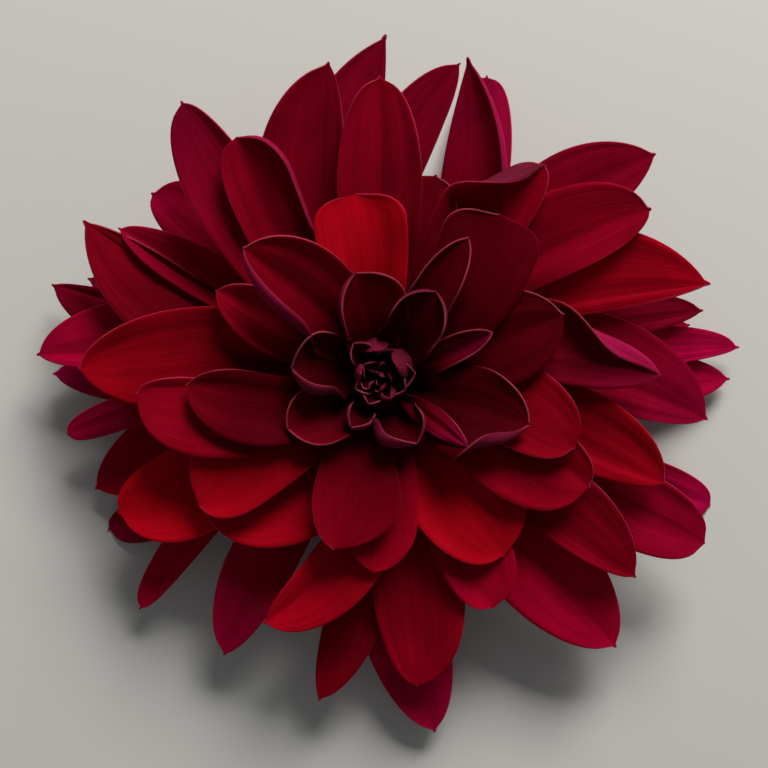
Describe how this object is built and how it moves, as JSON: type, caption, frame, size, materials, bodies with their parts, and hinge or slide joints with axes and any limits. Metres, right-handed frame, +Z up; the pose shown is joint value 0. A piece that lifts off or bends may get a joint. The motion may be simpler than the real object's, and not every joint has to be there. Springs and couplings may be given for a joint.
{
  "type": "dahlia flower",
  "caption": "Cut double dahlia bloom lying face up on its short stem, deep crimson with a near-black maroon heart and reflexed back florets.",
  "frame": {"origin": "middle of the footprint on the surface the bloom lies on", "axes": "+Z up out of the face of the bloom, along the stem; +Y towards the top of the reference view and +X to its right"},
  "size_m": [0.1446, 0.142, 0.0406],
  "materials": {
    "petal": "velvety crimson petal, paler magenta reverse, maroon towards the heart",
    "bud": "near-black maroon, satin",
    "calyx": "fresh leaf green, matte",
    "stem": "green stem with a paler cut end, matte"
  },
  "bodies": {
    "root": {"ray_florets": "petal", "centre_bud": "bud", "calyx": "calyx", "stem": "stem"}
  },
  "joints": []
}
